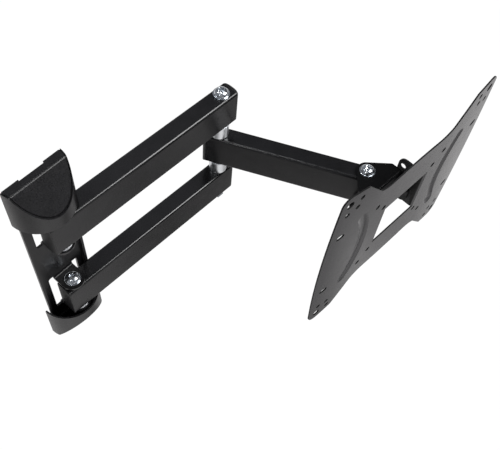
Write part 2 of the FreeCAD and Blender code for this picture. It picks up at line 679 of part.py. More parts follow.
# ---------------------------------------------------------------- screen plate
# Drawn lying down: x to the right, y up the plate, z out of its front face at z = 0.
def plate_outline():
    side_reach = PLATE_CORNER_Z - PLATE_SIDE_STRAIGHT
    side_radius = side_reach * PLATE_CORNER_Z / PLATE_SIDE_BOW
    bar_radius = (BAR_END_X - BAR_STRAIGHT) * BAR_END_X / BAR_CROWN
    crown = BAR_END_Z + BAR_CROWN
    quarter = [(BAR_END_X, BAR_END_Z, BAR_END_R), (WING_ROOT_X, WING_ROOT_Z, WING_ROOT_R),
               (WING_TIP_X, WING_TIP_Z, WING_TIP_R), (PLATE_CORNER_X, PLATE_CORNER_Z, PLATE_CORNER_R)]
    below = [(x, -y, radius) for x, y, radius in reversed(quarter)]
    right = quarter + [(PLATE_CORNER_X + PLATE_SIDE_BOW, 0, side_radius)] + below
    left = [(-x, y, radius) for x, y, radius in reversed(right)]
    return [(0, crown, bar_radius)] + right + [(0, -crown, bar_radius)] + left


def behind_face(inset, z_low):
    """Everything behind the plate's front face, whose wings curve back, moved back by an inset."""
    reach = PLATE_CORNER_X + 2 * PLATE_SIDE_BOW
    high = PLATE_CORNER_Z + 1
    middle = box(-WING_ROLL_X, WING_ROLL_X, -high, high, z_low, -inset)
    roll = Part.makeCylinder(WING_ROLL_R - inset, 2 * high, Vector(WING_ROLL_X, -high, -WING_ROLL_R),
                             Vector(0, 1, 0))
    wing = roll.common(box(WING_ROLL_X, reach, -high, high, z_low, 0))
    return middle.fuse([wing, wing.mirror(Vector(0, 0, 0), Vector(1, 0, 0))])


def bead(inset):
    """Round bar along the right hand bead's curve, whose lowest line gives the bead its depth."""
    rise = BEAD_END_X - BEAD_MID_X
    bow = (BEAD_END_Z ** 2 + rise ** 2) / (2 * rise)
    round_r = (BEAD_WIDTH ** 2 / 4 + BEAD_DEPTH ** 2) / (2 * BEAD_DEPTH)
    centre = Vector(BEAD_MID_X + bow, 0, round_r - BEAD_DEPTH)
    swing = math.degrees(math.asin(BEAD_END_Z / bow))
    circle = Part.makeCircle(round_r + inset, centre - Vector(bow, 0, 0), Vector(0, 1, 0))
    section = Part.Face(Part.Wire(circle))
    section.rotate(centre, Vector(0, 0, 1), -swing)
    bar = section.revolve(centre, Vector(0, 0, 1), 2 * swing)
    ends = []
    for side in (1, -1):
        ends.append(Part.makeSphere(round_r + inset, Vector(BEAD_END_X, side * BEAD_END_Z, centre.z)))
    return bar.fuse(ends)


def tilt_ear():
    """Right hand ear: folded back from the window's edge, with the tilt holes."""
    outer = EAR_INNER_X + PLATE_SHEET
    bend_out = EAR_BEND + PLATE_SHEET
    fold = EAR_INNER_X + bend_out
    side = [(-EAR_HALF_HEIGHT, -bend_out, 0), (-EAR_HALF_HEIGHT, -EAR_HEEL_DEPTH, EAR_HEEL_R),
            (-EAR_HALF_HEIGHT + EAR_HEEL_RISE, -EAR_DEPTH, EAR_ELBOW_R),
            (EAR_HALF_HEIGHT, -EAR_DEPTH, EAR_CORNER_R), (EAR_HALF_HEIGHT, -bend_out, 0)]
    ear = prism_along_x(side, EAR_INNER_X, outer)
    bend_axis = Vector(fold, -EAR_HALF_HEIGHT, -bend_out)
    upwards = Vector(0, 1, 0)
    bend = Part.makeCylinder(bend_out, 2 * EAR_HALF_HEIGHT, bend_axis, upwards)
    bend = bend.cut(Part.makeCylinder(EAR_BEND, 2 * EAR_HALF_HEIGHT, bend_axis, upwards))
    bend = bend.common(box(EAR_INNER_X, fold, -EAR_HALF_HEIGHT, EAR_HALF_HEIGHT, -bend_out, 0))
    ear = ear.fuse(bend)
    axis_depth = PLATE_OUT - TILT_OUT
    along = Vector(1, 0, 0)
    pivot = Vector(EAR_INNER_X - 1, -PLATE_RISE, -axis_depth)
    ear = ear.cut(Part.makeCylinder(TILT_SCREW_R + TILT_RUN_CLEARANCE, PLATE_SHEET + 2, pivot, along))
    spare = Vector(EAR_INNER_X - 1, EAR_HOLE_Z, -EAR_HOLE_DEPTH)
    ear = ear.cut(Part.makeCylinder(EAR_HOLE_R, PLATE_SHEET + 2, spare, along))
    return ear.cut(clamp_slot(pivot, along))


def clamp_slot(pivot, along):
    """Curved slot round the tilt axis: the clamp screw stands still while the plate tilts."""
    half_width = TILT_SCREW_R + TILT_SLOT_CLEARANCE
    length = PLATE_SHEET + 2
    band = Part.makeCylinder(TILT_CLAMP_R + half_width, length, pivot, along)
    band = band.cut(Part.makeCylinder(TILT_CLAMP_R - half_width, length, pivot, along))
    reach = 2 * TILT_CLAMP_R
    ends = []
    rays = [(0, 0)]
    for degrees in (-TILT_BACK - TILT_END_PLAY, TILT_FORWARD + TILT_END_PLAY):
        angle = math.radians(degrees)
        ends.append((TILT_CLAMP_R * math.cos(angle), -TILT_CLAMP_R * math.sin(angle)))
        rays.append((reach * math.cos(angle), -reach * math.sin(angle)))
    sector = prism_along_x([(y, z, 0) for y, z in rays], 0, length)
    sector.translate(pivot)
    slot_shape = band.common(sector)
    for y, z in ends:
        centre = pivot + Vector(0, y, z)
        slot_shape = slot_shape.fuse(Part.makeCylinder(half_width, length, centre, along))
    return slot_shape


def screen_plate():
    deep = -PLATE_CORNER_R
    sides = Vector(1, 0, 0)
    origin = Vector(0, 0, 0)
    body = behind_face(0, deep)
    sheet = body.cut(behind_face(PLATE_SHEET, deep - 1))
    back = bead(PLATE_SHEET).common(body)
    front = bead(0)
    sheet = sheet.fuse([back, back.mirror(origin, sides)]).cut([front, front.mirror(origin, sides)])
    fold = EAR_INNER_X + EAR_BEND + PLATE_SHEET
    window = rectangle(-fold, fold, -PLATE_WINDOW_HEIGHT / 2, PLATE_WINDOW_HEIGHT / 2, 0)
    cuts = [prism(window, deep, 1)]
    for x, y, radius in PLATE_HOLES:
        for x_side in (x, -x):
            for y_side in (y, -y):
                cuts.append(rod(radius, deep, 1, x_side, y_side))
    for x_side in (SIDE_SLOT_X, -SIDE_SLOT_X):
        for y_side in (SIDE_SLOT_Z, -SIDE_SLOT_Z):
            cuts.append(slot(SIDE_SLOT_LENGTH, SIDE_SLOT_WIDTH, deep, 1, x_side, y_side))
    sheet = sheet.common(prism(plate_outline(), deep, 1)).cut(cuts)
    ear = tilt_ear()
    return sheet.fuse([ear, ear.mirror(origin, sides)]).removeSplitter()


def plate_body():
    plate = screen_plate()
    plate.rotate(Vector(0, 0, 0), Vector(1, 1, 1), 120)
    plate.translate(Vector(PLATE_OUT, 0, PLATE_RISE))
    return {"screen_plate": placed(plate, PLATE_HEADING, SWIVEL)}


# ---------------------------------------------------------------- write the pieces
def main():
    os.makedirs("parts", exist_ok=True)
    for body in (wall_body(), arm_body(), forearm_body(), head_body(), plate_body()):
        for name, shape in body.items():
            shape.exportStep("parts/" + name + ".step")


main()
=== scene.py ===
import json
import math

import bmesh
import bpy
from mathutils import Matrix, Vector


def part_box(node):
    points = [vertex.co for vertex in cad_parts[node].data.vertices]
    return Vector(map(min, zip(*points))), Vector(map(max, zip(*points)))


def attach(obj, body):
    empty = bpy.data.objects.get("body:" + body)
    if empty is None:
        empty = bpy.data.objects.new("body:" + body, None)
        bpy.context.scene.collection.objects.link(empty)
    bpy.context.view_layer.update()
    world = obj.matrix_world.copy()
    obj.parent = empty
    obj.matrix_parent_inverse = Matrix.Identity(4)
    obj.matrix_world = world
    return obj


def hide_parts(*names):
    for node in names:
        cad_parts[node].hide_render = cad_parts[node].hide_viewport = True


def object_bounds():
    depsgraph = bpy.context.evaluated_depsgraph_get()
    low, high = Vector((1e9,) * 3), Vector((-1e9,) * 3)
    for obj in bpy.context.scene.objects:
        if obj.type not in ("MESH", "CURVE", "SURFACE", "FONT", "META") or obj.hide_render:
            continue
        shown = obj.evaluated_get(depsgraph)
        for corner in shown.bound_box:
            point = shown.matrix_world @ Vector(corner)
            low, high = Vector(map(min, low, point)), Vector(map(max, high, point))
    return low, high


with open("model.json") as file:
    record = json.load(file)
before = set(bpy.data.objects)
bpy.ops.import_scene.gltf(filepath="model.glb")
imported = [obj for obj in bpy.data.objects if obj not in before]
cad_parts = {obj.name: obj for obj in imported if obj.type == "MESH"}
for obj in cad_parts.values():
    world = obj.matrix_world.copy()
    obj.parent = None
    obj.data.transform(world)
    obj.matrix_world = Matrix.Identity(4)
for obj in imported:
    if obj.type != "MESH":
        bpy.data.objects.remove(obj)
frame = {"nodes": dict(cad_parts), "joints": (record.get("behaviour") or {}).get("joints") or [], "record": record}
cad_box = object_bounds()

# ---------------------------------------------------------------- driving values
# Lengths are in metres and angles in degrees, unless a comment says otherwise.

# Camera: where it stands, how it is turned, and its lens and sensor in mm
CAMERA_PLACE = Vector((-0.16736, -0.32975, 0.58789))
CAMERA_AZIMUTH = -55.408
CAMERA_ELEVATION = 57.05
CAMERA_ROLL = 7.026
CAMERA_LENS = 51.759
SENSOR_WIDTH = 36.0
CLIP_START = 0.01

# Soft lights: place, aim, width, depth, and power in watts
LIGHTS = {
    "arm_box": ((0.70, -0.80, 1.10), (0.10, -0.05, 0.0), 0.60, 0.70, 16.0),
    "forearm_box": ((0.13, 0.06, 1.40), (0.13, -0.05, 0.0), 0.10, 0.30, 1.3),
    "left_spot": ((-0.70, -0.20, 1.10), (0.1, -0.05, 0.0), 0.14, 0.14, 1.2),
    "back_spot": ((-0.20, 0.60, 1.10), (0.1, -0.05, 0.0), 0.14, 0.14, 1.2),
}

# Floor, and a sphere around everything that gives the other views a pale background
FLOOR_DROP = 1.5           # floor below the lowest point of the mount
FLOOR_REACH = 8.0
FLOOR_BASE, FLOOR_TONE = 0.06, 1.0
BACKDROP_RADIUS = 7.0
BACKDROP_TONE = 0.90

# What the steel reflects: (direction, tone) pairs. The direction runs from -1 left to 1 right.
# The sweep is below the horizon and the sky above it.
SWEEP_TONES = [
    (-1.0, 0.45), (-0.62, 0.16), (-0.56, 0.38), (-0.42, 0.86), (-0.15, 0.74), (0.19, 0.64),
    (0.255, 0.60), (0.30, 0.40), (0.35, 0.30), (0.40, 0.45), (0.46, 0.72), (0.53, 0.44),
    (0.58, 0.60), (0.65, 0.84), (1.0, 0.76),
]
SKY_TONES = [
    (-1.0, 0.24), (0.0, 0.18), (0.26, 0.18), (0.34, 0.46), (0.42, 0.35), (0.52, 0.24),
    (0.58, 0.10), (0.62, 0.03), (1.0, 0.10),
]
SWEEP_TINT = (1.0, 0.985, 0.985)
SKY_TINT = (0.97, 0.99, 1.06)
HORIZON_BLEND = 0.12
# Dark patch of the sweep: its middle and reach in Y, and where in X it starts and is full
PATCH_Y, PATCH_REACH = -0.405, 0.105
PATCH_START, PATCH_FULL = 0.08, 0.29

# Sizes of the patterns in the materials. SPREAD and DEPTH are ratios: the speck's size and
# depth to the plastic grain's, and the plating grain's depth to the turning marks'.
COAT_CLOUDS, COAT_SPECK, COAT_SHEEN, COAT_PEEL, COAT_GRAIN = 0.02, 0.0009, 0.009, 0.0016, 0.00035
EDGE_MOTTLE, EDGE_SHEEN = 0.002, 0.003
EDGE_ROUGH = (0.5, 0.65)
PLASTIC_CLOUDS, SPECK_SPREAD, SPECK_DEPTH = 0.015, 1.5, 0.6
PLATING_CLOUDS, PLATING_MARKS, PLATING_GRAIN, PLATING_DEPTH = 0.004, 0.0012, 0.0003, 0.5

# Plate: a face is a cut edge where its normal makes a smaller cosine than this with the front's,
# or part of an ear where it also lies this far behind the front. The ears' lighter tone is painted light.
EDGE_FACING = 0.5
EAR_BEHIND = 0.005

# Noses on the arms' elbow ends
NOSE_START = 0.0118        # past the elbow's axis
NOSE_DEPTH = 0.004
NOSE_HALF_WIDTH, NOSE_HALF_HEIGHT, NOSE_CORNER = 0.010, 0.020, 0.003
NOSE_POWER = 2.6           # of the outline seen from above: 2 is an ellipse, more is squarer
NOSE_EDGE = 0.0016         # fall of the top and bottom at the tip
NOSE_STEPS = 13
NOSE_CREASE = 50

# Webs of the wall caps: dark sheets in front of the wall slots, as painted shade seen through
# them. Half width, front and back in Y, how far from z = 0 they start, and how far short of the
# caps' ends they stop
WEB_HALF_WIDTH = 0.022
WEB_FRONT, WEB_BACK = -0.0044, -0.0030
WEB_INNER, WEB_END_GAP = 0.102, 0.002
WEB_EDGE = 0.0004

# Turned parts
TURNED_SEGMENTS = 48
TURNED_CREASE = 32
# Bolts. The dome ends in a lip around the socket, a hexagon whose mouth is wider and rounder.
BOLT_RADIUS = 0.0040
THREAD_PITCH, THREAD_DEPTH, THREAD_TURNS, THREAD_LEAD = 0.00125, 0.0005, 9, 0.0004
DOME_RADIUS, DOME_HEIGHT, DOME_STEPS = 0.0080, 0.0052, 12
BRIM_HEIGHT, BRIM_WIDTH, BRIM_EDGE, BRIM_CHAMFER = 0.0011, 0.0009, 0.0002, 0.0003
SOCKET_HALF, SOCKET_DEPTH = 0.0025, 0.0026
LIP_WIDENING = 1.25
MOUTH_WIDENING, MOUTH_ROUNDING, MOUTH_TOP, MOUTH_BOTTOM = 1.06, 0.4, 0.00015, 0.0005
HEXAGON_MEAN = 1.06        # radius that a hexagon is rounded to, by its half width
# Washers at the shoulder and spacer sleeves at the elbow
RING_BORE = 0.0042
WASHER_RADIUS, WASHER_EDGE, WASHER_OFF_TUBE = 0.0095, 0.0002, 0.00055
SPACER_RADIUS, SPACER_EDGE = 0.0096, 0.0006


# ---------------------------------------------------------------- nodes
class Nodes:
    """A node tree, and short calls that add nodes to it."""

    def __init__(self, tree):
        self.tree = tree

    def add(self, kind, **values):
        """New node. A value goes to its input of that name, or else to its setting."""
        node = self.tree.nodes.new(kind)
        for key, value in values.items():
            if key in node.inputs:
                node.inputs[key].default_value = value
            else:
                setattr(node, key, value)
        return node

    def feed(self, socket, value):
        """Link another node's output to a socket, or set the socket to a number or colour."""
        if isinstance(value, bpy.types.NodeSocket):
            self.tree.links.new(value, socket)
        else:
            socket.default_value = value

    def math(self, operation, *values):
        node = self.add("ShaderNodeMath", operation=operation)
        for socket, value in zip(node.inputs, values):
            self.feed(socket, value)
        return node.outputs["Value"]

    def remap(self, value, low, high, from_low=0.3, from_high=0.7, kind="LINEAR"):
        node = self.add("ShaderNodeMapRange", interpolation_type=kind)
        ends = {"From Min": from_low, "From Max": from_high, "To Min": low, "To Max": high}
        for key, end in ends.items():
            node.inputs[key].default_value = end
        self.feed(node.inputs["Value"], value)
        return node.outputs["Result"]

    def smooth(self, value, low, high):
        """0 below low, 1 above high, and a smooth step between."""
        return self.remap(value, 0.0, 1.0, low, high, kind="SMOOTHSTEP")

    def mix(self, factor, low, high):
        """Mix of two colours, each an output or three numbers."""
        node = self.add("ShaderNodeMix", data_type="RGBA")
        self.feed(node.inputs["Factor"], factor)
        for name, value in (("A", low), ("B", high)):
            socket = next(s for s in node.inputs if s.name == name and s.type == "RGBA")
            self.feed(socket, value + (1.0,) if isinstance(value, tuple) else value)
        return next(s for s in node.outputs if s.type == "RGBA")

    def ramp(self, value, tones, tint):
        """Tinted tone by a value from -1 to 1."""
        node = self.add("ShaderNodeValToRGB")
        node.color_ramp.interpolation = "EASE"
        elements = node.color_ramp.elements
        while len(elements) < len(tones):
            elements.new(0.5)
        for element, (place, tone) in zip(elements, tones):
            element.position = (place + 1) / 2
            element.color = tuple(tone * channel for channel in tint) + (1.0,)
        self.feed(node.inputs["Fac"], self.remap(value, 0.0, 1.0, -1.0, 1.0))
        return node.outputs["Color"]


class Shader(Nodes):
    """A material with one Principled shader."""

    def __init__(self, name):
        self.material = bpy.data.materials.new(name)
        self.material.use_nodes = True
        super().__init__(self.material.node_tree)
        self.bsdf = next(n for n in self.tree.nodes if n.type == "BSDF_PRINCIPLED")
        self.coordinates = self.add("ShaderNodeTexCoord").outputs["Object"]

    def set(self, **values):
        """Number, colour or output for each named input of the shader."""
        for key, value in values.items():
            self.feed(self.bsdf.inputs[key.replace("_", " ")], value)

    def noise(self, size, detail=3.0, roughness=0.6, stretch=(1, 1, 1)):
        """Noise whose features are about size across."""
        scaled = self.add("ShaderNodeMapping", Scale=stretch)
        self.feed(scaled.inputs["Vector"], self.coordinates)
        node = self.add("ShaderNodeTexNoise", Scale=1.0 / size, Detail=detail,
                        Roughness=roughness)
        self.feed(node.inputs["Vector"], scaled.outputs["Vector"])
        return node.outputs["Fac"]

    def pits(self, size):
        """Rounded cells about size across."""
        node = self.add("ShaderNodeTexVoronoi", feature="SMOOTH_F1", Scale=1.0 / size)
        self.feed(node.inputs["Vector"], self.coordinates)
        return node.outputs["Distance"]

    def blend(self, first, second, share):
        """The second value's share, and the rest from the first."""
        return self.math("ADD", self.math("MULTIPLY", first, 1.0 - share),
                         self.math("MULTIPLY", second, share))

    def bump(self, heights):
        """Chain of bumps from (height output, depth) pairs."""
        normal = None
        for height, depth in heights:
            node = self.add("ShaderNodeBump", Strength=1.0, Distance=depth)
            self.feed(node.inputs["Height"], height)
            if normal is not None:
                self.feed(node.inputs["Normal"], normal)
            normal = node.outputs["Normal"]
        self.set(Normal=normal)


# ---------------------------------------------------------------- materials
def powder_coat(name, dark, light, rough, peel, grain, specular=0.5):
    """Satin powder coat: soft orange peel, a fine grain, and cloudy changes of tone."""
    s = Shader(name)
    tone = s.blend(s.noise(COAT_CLOUDS), s.noise(COAT_SPECK, detail=2.0), share=0.6)
    s.set(Base_Color=s.mix(s.remap(tone, 0.0, 1.0, from_low=0.35, from_high=0.65), dark, light),
          Roughness=s.remap(s.noise(COAT_SHEEN, detail=4.0), *rough),
          Specular_IOR_Level=specular)
    s.bump([(s.noise(COAT_PEEL, detail=2.0, roughness=0.5), peel),
            (s.noise(COAT_GRAIN, detail=2.0), grain)])
    return s.material


def edge_coat(name, dark, light, specular):
    """Powder coat on cut edges and ears: duller and darker than on the plate's front. The ears are given a lighter
    tone than the edges, as painted light.
    """
    s = Shader(name)
    s.set(Base_Color=s.mix(s.remap(s.noise(EDGE_MOTTLE), 0.0, 1.0), dark, light),
          Roughness=s.remap(s.noise(EDGE_SHEEN), *EDGE_ROUGH),
          Specular_IOR_Level=specular)
    return s.material


def grained_plastic(name, dark, light, rough, grain_size, grain):
    """Moulded plastic with a fine spark-eroded grain."""
    s = Shader(name)
    speck = s.noise(grain_size * SPECK_SPREAD)
    tone = s.blend(s.noise(PLASTIC_CLOUDS), speck, share=0.7)
    s.set(Base_Color=s.mix(s.remap(tone, 0.0, 1.0, from_low=0.40, from_high=0.62), dark, light),
          Roughness=s.remap(speck, *rough))
    s.bump([(s.pits(grain_size), grain), (speck, grain * SPECK_DEPTH)])
    return s.material


def plated_steel(name, dark, light, rough, scratch, metallic=1.0):
    """Bright plated steel with faint turning marks and cloudy plating."""
    s = Shader(name)
    marks = s.noise(PLATING_MARKS, detail=2.0, roughness=0.5, stretch=(1, 1, 6))
    grain = s.noise(PLATING_GRAIN, detail=2.0, roughness=0.5)
    s.set(Base_Color=s.mix(s.remap(s.noise(PLATING_CLOUDS), 0.0, 1.0), dark, light),
          Roughness=s.remap(marks, *rough),
          Metallic=metallic)
    s.bump([(marks, scratch), (grain, scratch * PLATING_DEPTH)])
    return s.material


def glowing(name, base, roughness, specular, tone):
    """Plain surface that gives off its own white light."""
    s = Shader(name)
    s.set(Base_Color=(base, base, base, 1.0), Roughness=roughness, Specular_IOR_Level=specular,
          Emission_Color=(1.0, 1.0, 1.0, 1.0), Emission_Strength=tone)
    return s.material


def make_materials():
    return {
        "tube": powder_coat(
            "tube_coat", (0.003, 0.003, 0.0035), (0.011, 0.0108, 0.0118),
            rough=(0.21, 0.25), peel=0.000003, grain=0.0000008),
        "sheet": powder_coat(
            "sheet_coat", (0.005, 0.005, 0.0055), (0.008, 0.0078, 0.0085),
            rough=(0.28, 0.34), peel=0.000003, grain=0.0000008),
        # The plate's front: the tubes' black powder coat, with its tone raised as a painted reflection.
        "plate": powder_coat(
            "plate_coat", (0.031, 0.030, 0.032), (0.036, 0.035, 0.037),
            rough=(0.23, 0.27), peel=0.000002, grain=0.0000004),
        "plate_edge": edge_coat(
            "plate_edge", (0.004, 0.004, 0.004), (0.008, 0.008, 0.008), specular=0.28),
        # The plate's ears: the same black coat, lighter as painted light on their faces.
        "plate_ear": edge_coat(
            "plate_ear_painted_light", (0.013, 0.013, 0.0135), (0.017, 0.0168, 0.0175), specular=0.5),
        "head": powder_coat(
            "head_coat", (0.003, 0.003, 0.0032), (0.005, 0.005, 0.0053),
            rough=(0.22, 0.28), peel=0.000006, grain=0.000002, specular=0.28),
        "black": powder_coat(
            "black_oxide", (0.004, 0.004, 0.0045), (0.007, 0.007, 0.0075),
            rough=(0.22, 0.30), peel=0.000006, grain=0.000003, specular=0.3),
        "cap": grained_plastic(
            "cap_plastic", (0.001, 0.001, 0.0014), (0.010, 0.0096, 0.0108),
            rough=(0.26, 0.42), grain_size=0.0007, grain=0.00004),
        "plug": grained_plastic(
            "plug_plastic", (0.008, 0.008, 0.0085), (0.013, 0.013, 0.0135),
            rough=(0.42, 0.52), grain_size=0.0005, grain=0.00001),
        "nylon": grained_plastic(
            "nylon", (0.012, 0.012, 0.012), (0.02, 0.02, 0.02),
            rough=(0.45, 0.55), grain_size=0.0006, grain=0.00001),
        "chrome": plated_steel(
            "bright_chrome", (0.58, 0.62, 0.66), (0.76, 0.79, 0.82),
            rough=(0.18, 0.25), scratch=0.0000006),
        "satin": plated_steel(
            "satin_chrome", (0.86, 0.89, 0.92), (0.94, 0.96, 0.98),
            rough=(0.30, 0.38), scratch=0.000004),
        # Washers: bright plated steel, made partly diffuse and near white as a painted highlight on their rims.
        "washer": plated_steel(
            "bright_washer_painted_highlight", (0.86, 0.88, 0.90), (0.94, 0.95, 0.97),
            rough=(0.35, 0.45), scratch=0.000004, metallic=0.3),
        "zinc": plated_steel(
            "bright_zinc", (0.50, 0.54, 0.58), (0.66, 0.70, 0.73),
            rough=(0.22, 0.34), scratch=0.000006),
    }


FINISH = {
    # wall
    "wall_bracket": "sheet", "top_cap": "cap", "bottom_cap": "cap",
    "shoulder_bolts": "chrome", "shoulder_thrust_washers": "washer",
    "shoulder_nut_washers": "black", "shoulder_lock_nuts": "black",
    # pair of arms
    "upper_arm_tube": "tube", "lower_arm_tube": "tube",
    "arm_wall_plugs": "plug", "arm_elbow_plugs": "plug", "shoulder_bushes": "nylon",
    "elbow_sleeves": "zinc", "elbow_bolt": "chrome",
    "elbow_washers": "zinc", "elbow_lock_nut": "zinc",
    "upper_elbow_spacer": "satin", "lower_elbow_spacer": "satin",
    # forearm
    "forearm_tube": "tube", "forearm_elbow_plug": "plug", "forearm_head_plug": "plug",
    "elbow_bushes": "nylon", "swivel_bushes": "nylon",
    # head
    "head_bracket": "head", "swivel_bolt": "chrome",
    "swivel_washer": "zinc", "swivel_lock_nut": "zinc",
    # tilt and screen
    "tilt_pivot_screws": "black", "tilt_clamp_screws": "black", "tilt_washers": "black",
    "tilt_nuts": "black", "tilt_friction_discs": "nylon", "screen_plate": "plate",
}


def finish_nodes(materials):
    for name, node in frame["nodes"].items():
        node.data.materials.clear()
        node.data.materials.append(materials[FINISH[name]])
        for polygon in node.data.polygons:
            polygon.material_index = 0


def finish_plate_edges(materials):
    """Own coats for the plate's cut edges (slot 1) and its ears (slot 2); the ears' coat is lighter as painted
    light.
    """
    plate = frame["nodes"]["screen_plate"].data
    plate.materials.append(materials["plate_edge"])
    plate.materials.append(materials["plate_ear"])
    front = next(mount for mount in frame["record"]["mounts"] if mount["name"] == "screen_75")
    middle, facing = Vector(front["pos_m"]), Vector(front["axis"])
    for polygon in plate.polygons:
        if abs(polygon.normal.dot(facing)) < EDGE_FACING:
            behind = (middle - polygon.center).dot(facing)
            polygon.material_index = 2 if behind > EAR_BEHIND else 1


# ---------------------------------------------------------------- shapes
def circle(radius, height):
    turns = [2 * math.pi * k / TURNED_SEGMENTS for k in range(TURNED_SEGMENTS)]
    return [Vector((radius * math.cos(turn), radius * math.sin(turn), height)) for turn in turns]


def hexagon(half, height, rounding):
    """Hexagon of the given half width across its flats, pulled towards a circle by rounding."""
    points = []
    for k in range(TURNED_SEGMENTS):
        turn = 2 * math.pi * k / TURNED_SEGMENTS
        off_middle = (turn + math.pi / 6) % (math.pi / 3) - math.pi / 6
        radius = half * ((1 - rounding) / math.cos(off_middle) + rounding * HEXAGON_MEAN)
        points.append(Vector((radius * math.cos(turn), radius * math.sin(turn), height)))
    return points


def rounded_ring(half_width, half_height, corner, steps=5):
    """Points (across, up) of a rounded rectangle."""
    points = []
    corner = min(corner, half_width)
    for side, (sx, sz) in enumerate(((1, 1), (-1, 1), (-1, -1), (1, -1))):
        for k in range(steps):
            turn = math.radians(90 * side + 90 * k / (steps - 1))
            points.append((sx * (half_width - corner) + corner * math.cos(turn),
                           sz * (half_height - corner) + corner * math.sin(turn)))
    return points


def loft(rings, closed=False):
    """Shape through rings of equally many points. Closed joins the last ring to the first."""
    shape = bmesh.new()
    rows = [[shape.verts.new(point) for point in ring] for ring in rings]
    count = len(rows[0])
    for low, high in zip(rows, rows[1:] + rows[:1] if closed else rows[1:]):
        for k in range(count):
            after = (k + 1) % count
            shape.faces.new((low[k], low[after], high[after], high[k]))
    if not closed:
        shape.faces.new(list(reversed(rows[0])))
        shape.faces.new(rows[-1])
    bmesh.ops.recalc_face_normals(shape, faces=shape.faces)
    for face in shape.faces:
        face.smooth = len(face.verts) == 4
    return shape


def bolt_shape(length):
    """Flanged dome bolt with a hexagon socket and a threaded tail. Its head's seat is at z = 0."""
    tail = DOME_HEIGHT - length
    root = BOLT_RADIUS - THREAD_DEPTH
    rings = [circle(root - THREAD_DEPTH, tail), circle(root, tail + THREAD_LEAD)]
    for turn in range(THREAD_TURNS):
        start = tail + THREAD_LEAD + turn * THREAD_PITCH
        rings.append(circle(BOLT_RADIUS, start + THREAD_PITCH / 2))
        rings.append(circle(root, start + THREAD_PITCH))
    rings += [circle(BOLT_RADIUS, rings[-1][0].z + THREAD_PITCH / 2), circle(BOLT_RADIUS, 0.0),
              circle(DOME_RADIUS - BRIM_EDGE, 0.0), circle(DOME_RADIUS, BRIM_EDGE),
              circle(DOME_RADIUS, BRIM_HEIGHT - BRIM_EDGE),
              circle(DOME_RADIUS - BRIM_CHAMFER, BRIM_HEIGHT)]
    foot = DOME_RADIUS - BRIM_WIDTH
    last = math.asin(SOCKET_HALF * LIP_WIDENING / foot)
    for step in range(DOME_STEPS):
        turn = math.pi / 2 + (last - math.pi / 2) * step / (DOME_STEPS - 1)
        rise = (DOME_HEIGHT - BRIM_HEIGHT) * math.cos(turn) / math.cos(last)
        rings.append(circle(foot * math.sin(turn), BRIM_HEIGHT + rise))
    rings += [hexagon(SOCKET_HALF * MOUTH_WIDENING, DOME_HEIGHT - MOUTH_TOP, MOUTH_ROUNDING),
              hexagon(SOCKET_HALF, DOME_HEIGHT - MOUTH_BOTTOM, 0.0),
              hexagon(SOCKET_HALF, DOME_HEIGHT - SOCKET_DEPTH, 0.0)]
    return loft(rings)


def sleeve_shape(radius, edge, bottom, top):
    """Ring around a bolt, with broken edges."""
    return loft([circle(RING_BORE, bottom + edge), circle(RING_BORE, top - edge),
                 circle(RING_BORE + edge, top), circle(radius - edge, top),
                 circle(radius, top - edge), circle(radius, bottom + edge),
                 circle(radius - edge, bottom), circle(RING_BORE + edge, bottom)], closed=True)


def moved(shape, x, y, z=0.0):
    bmesh.ops.translate(shape, verts=shape.verts, vec=(x, y, z))
    return shape


# ---------------------------------------------------------------- pieces
def add_piece(name, shapes, crease, material, body):
    """Piece made of shapes. Its edges that turn by more than crease stay sharp."""
    together = bmesh.new()
    for shape in shapes:
        part = bpy.data.meshes.new("part")
        shape.to_mesh(part)
        together.from_mesh(part)
        shape.free()
        bpy.data.meshes.remove(part)
    mesh = bpy.data.meshes.new(name)
    together.to_mesh(mesh)
    together.free()
    mesh.set_sharp_from_angle(angle=math.radians(crease))
    mesh.materials.append(material)
    piece = bpy.data.objects.new(name, mesh)
    bpy.context.scene.collection.objects.link(piece)
    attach(piece, body)
    return piece


def box_of(node):
    """Lowest corner, highest corner and middle of a CAD node."""
    low, high = (Vector(corner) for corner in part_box(node))
    return low, high, (low + high) / 2


def arm_height():
    """Height of the upper arm's middle. The lower arm is as far below z = 0."""
    return box_of("upper_arm_tube")[2].z


def make_elbow_noses(material):
    """Rounded noses on the arms' elbow ends."""
    anchors = {joint["name"]: Vector(joint["pos_m"]) for joint in frame["joints"]}
    elbow = anchors["elbow"]
    along = elbow - anchors["shoulder"]
    along.z = 0.0
    along.normalize()
    across = Vector((-along.y, along.x, 0.0))
    shapes = []
    for tube in ("upper_arm_tube", "lower_arm_tube"):
        start = elbow + along * NOSE_START
        start.z = box_of(tube)[2].z
        rings = []
        for step in range(NOSE_STEPS):
            reach = math.sin(math.radians(90 * step / (NOSE_STEPS - 0.5)))
            width = NOSE_HALF_WIDTH * (1 - reach ** NOSE_POWER) ** (1 / NOSE_POWER)
            height = NOSE_HALF_HEIGHT - NOSE_EDGE * (1 - math.sqrt(1 - reach ** 2))
            place = start + along * NOSE_DEPTH * reach
            rings.append([place + across * x + Vector((0, 0, z))
                          for x, z in rounded_ring(width, height, NOSE_CORNER)])
        shapes.append(loft(rings))
    piece = add_piece("elbow_noses", shapes, NOSE_CREASE, material, "arm_pair")
    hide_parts("arm_elbow_plugs")


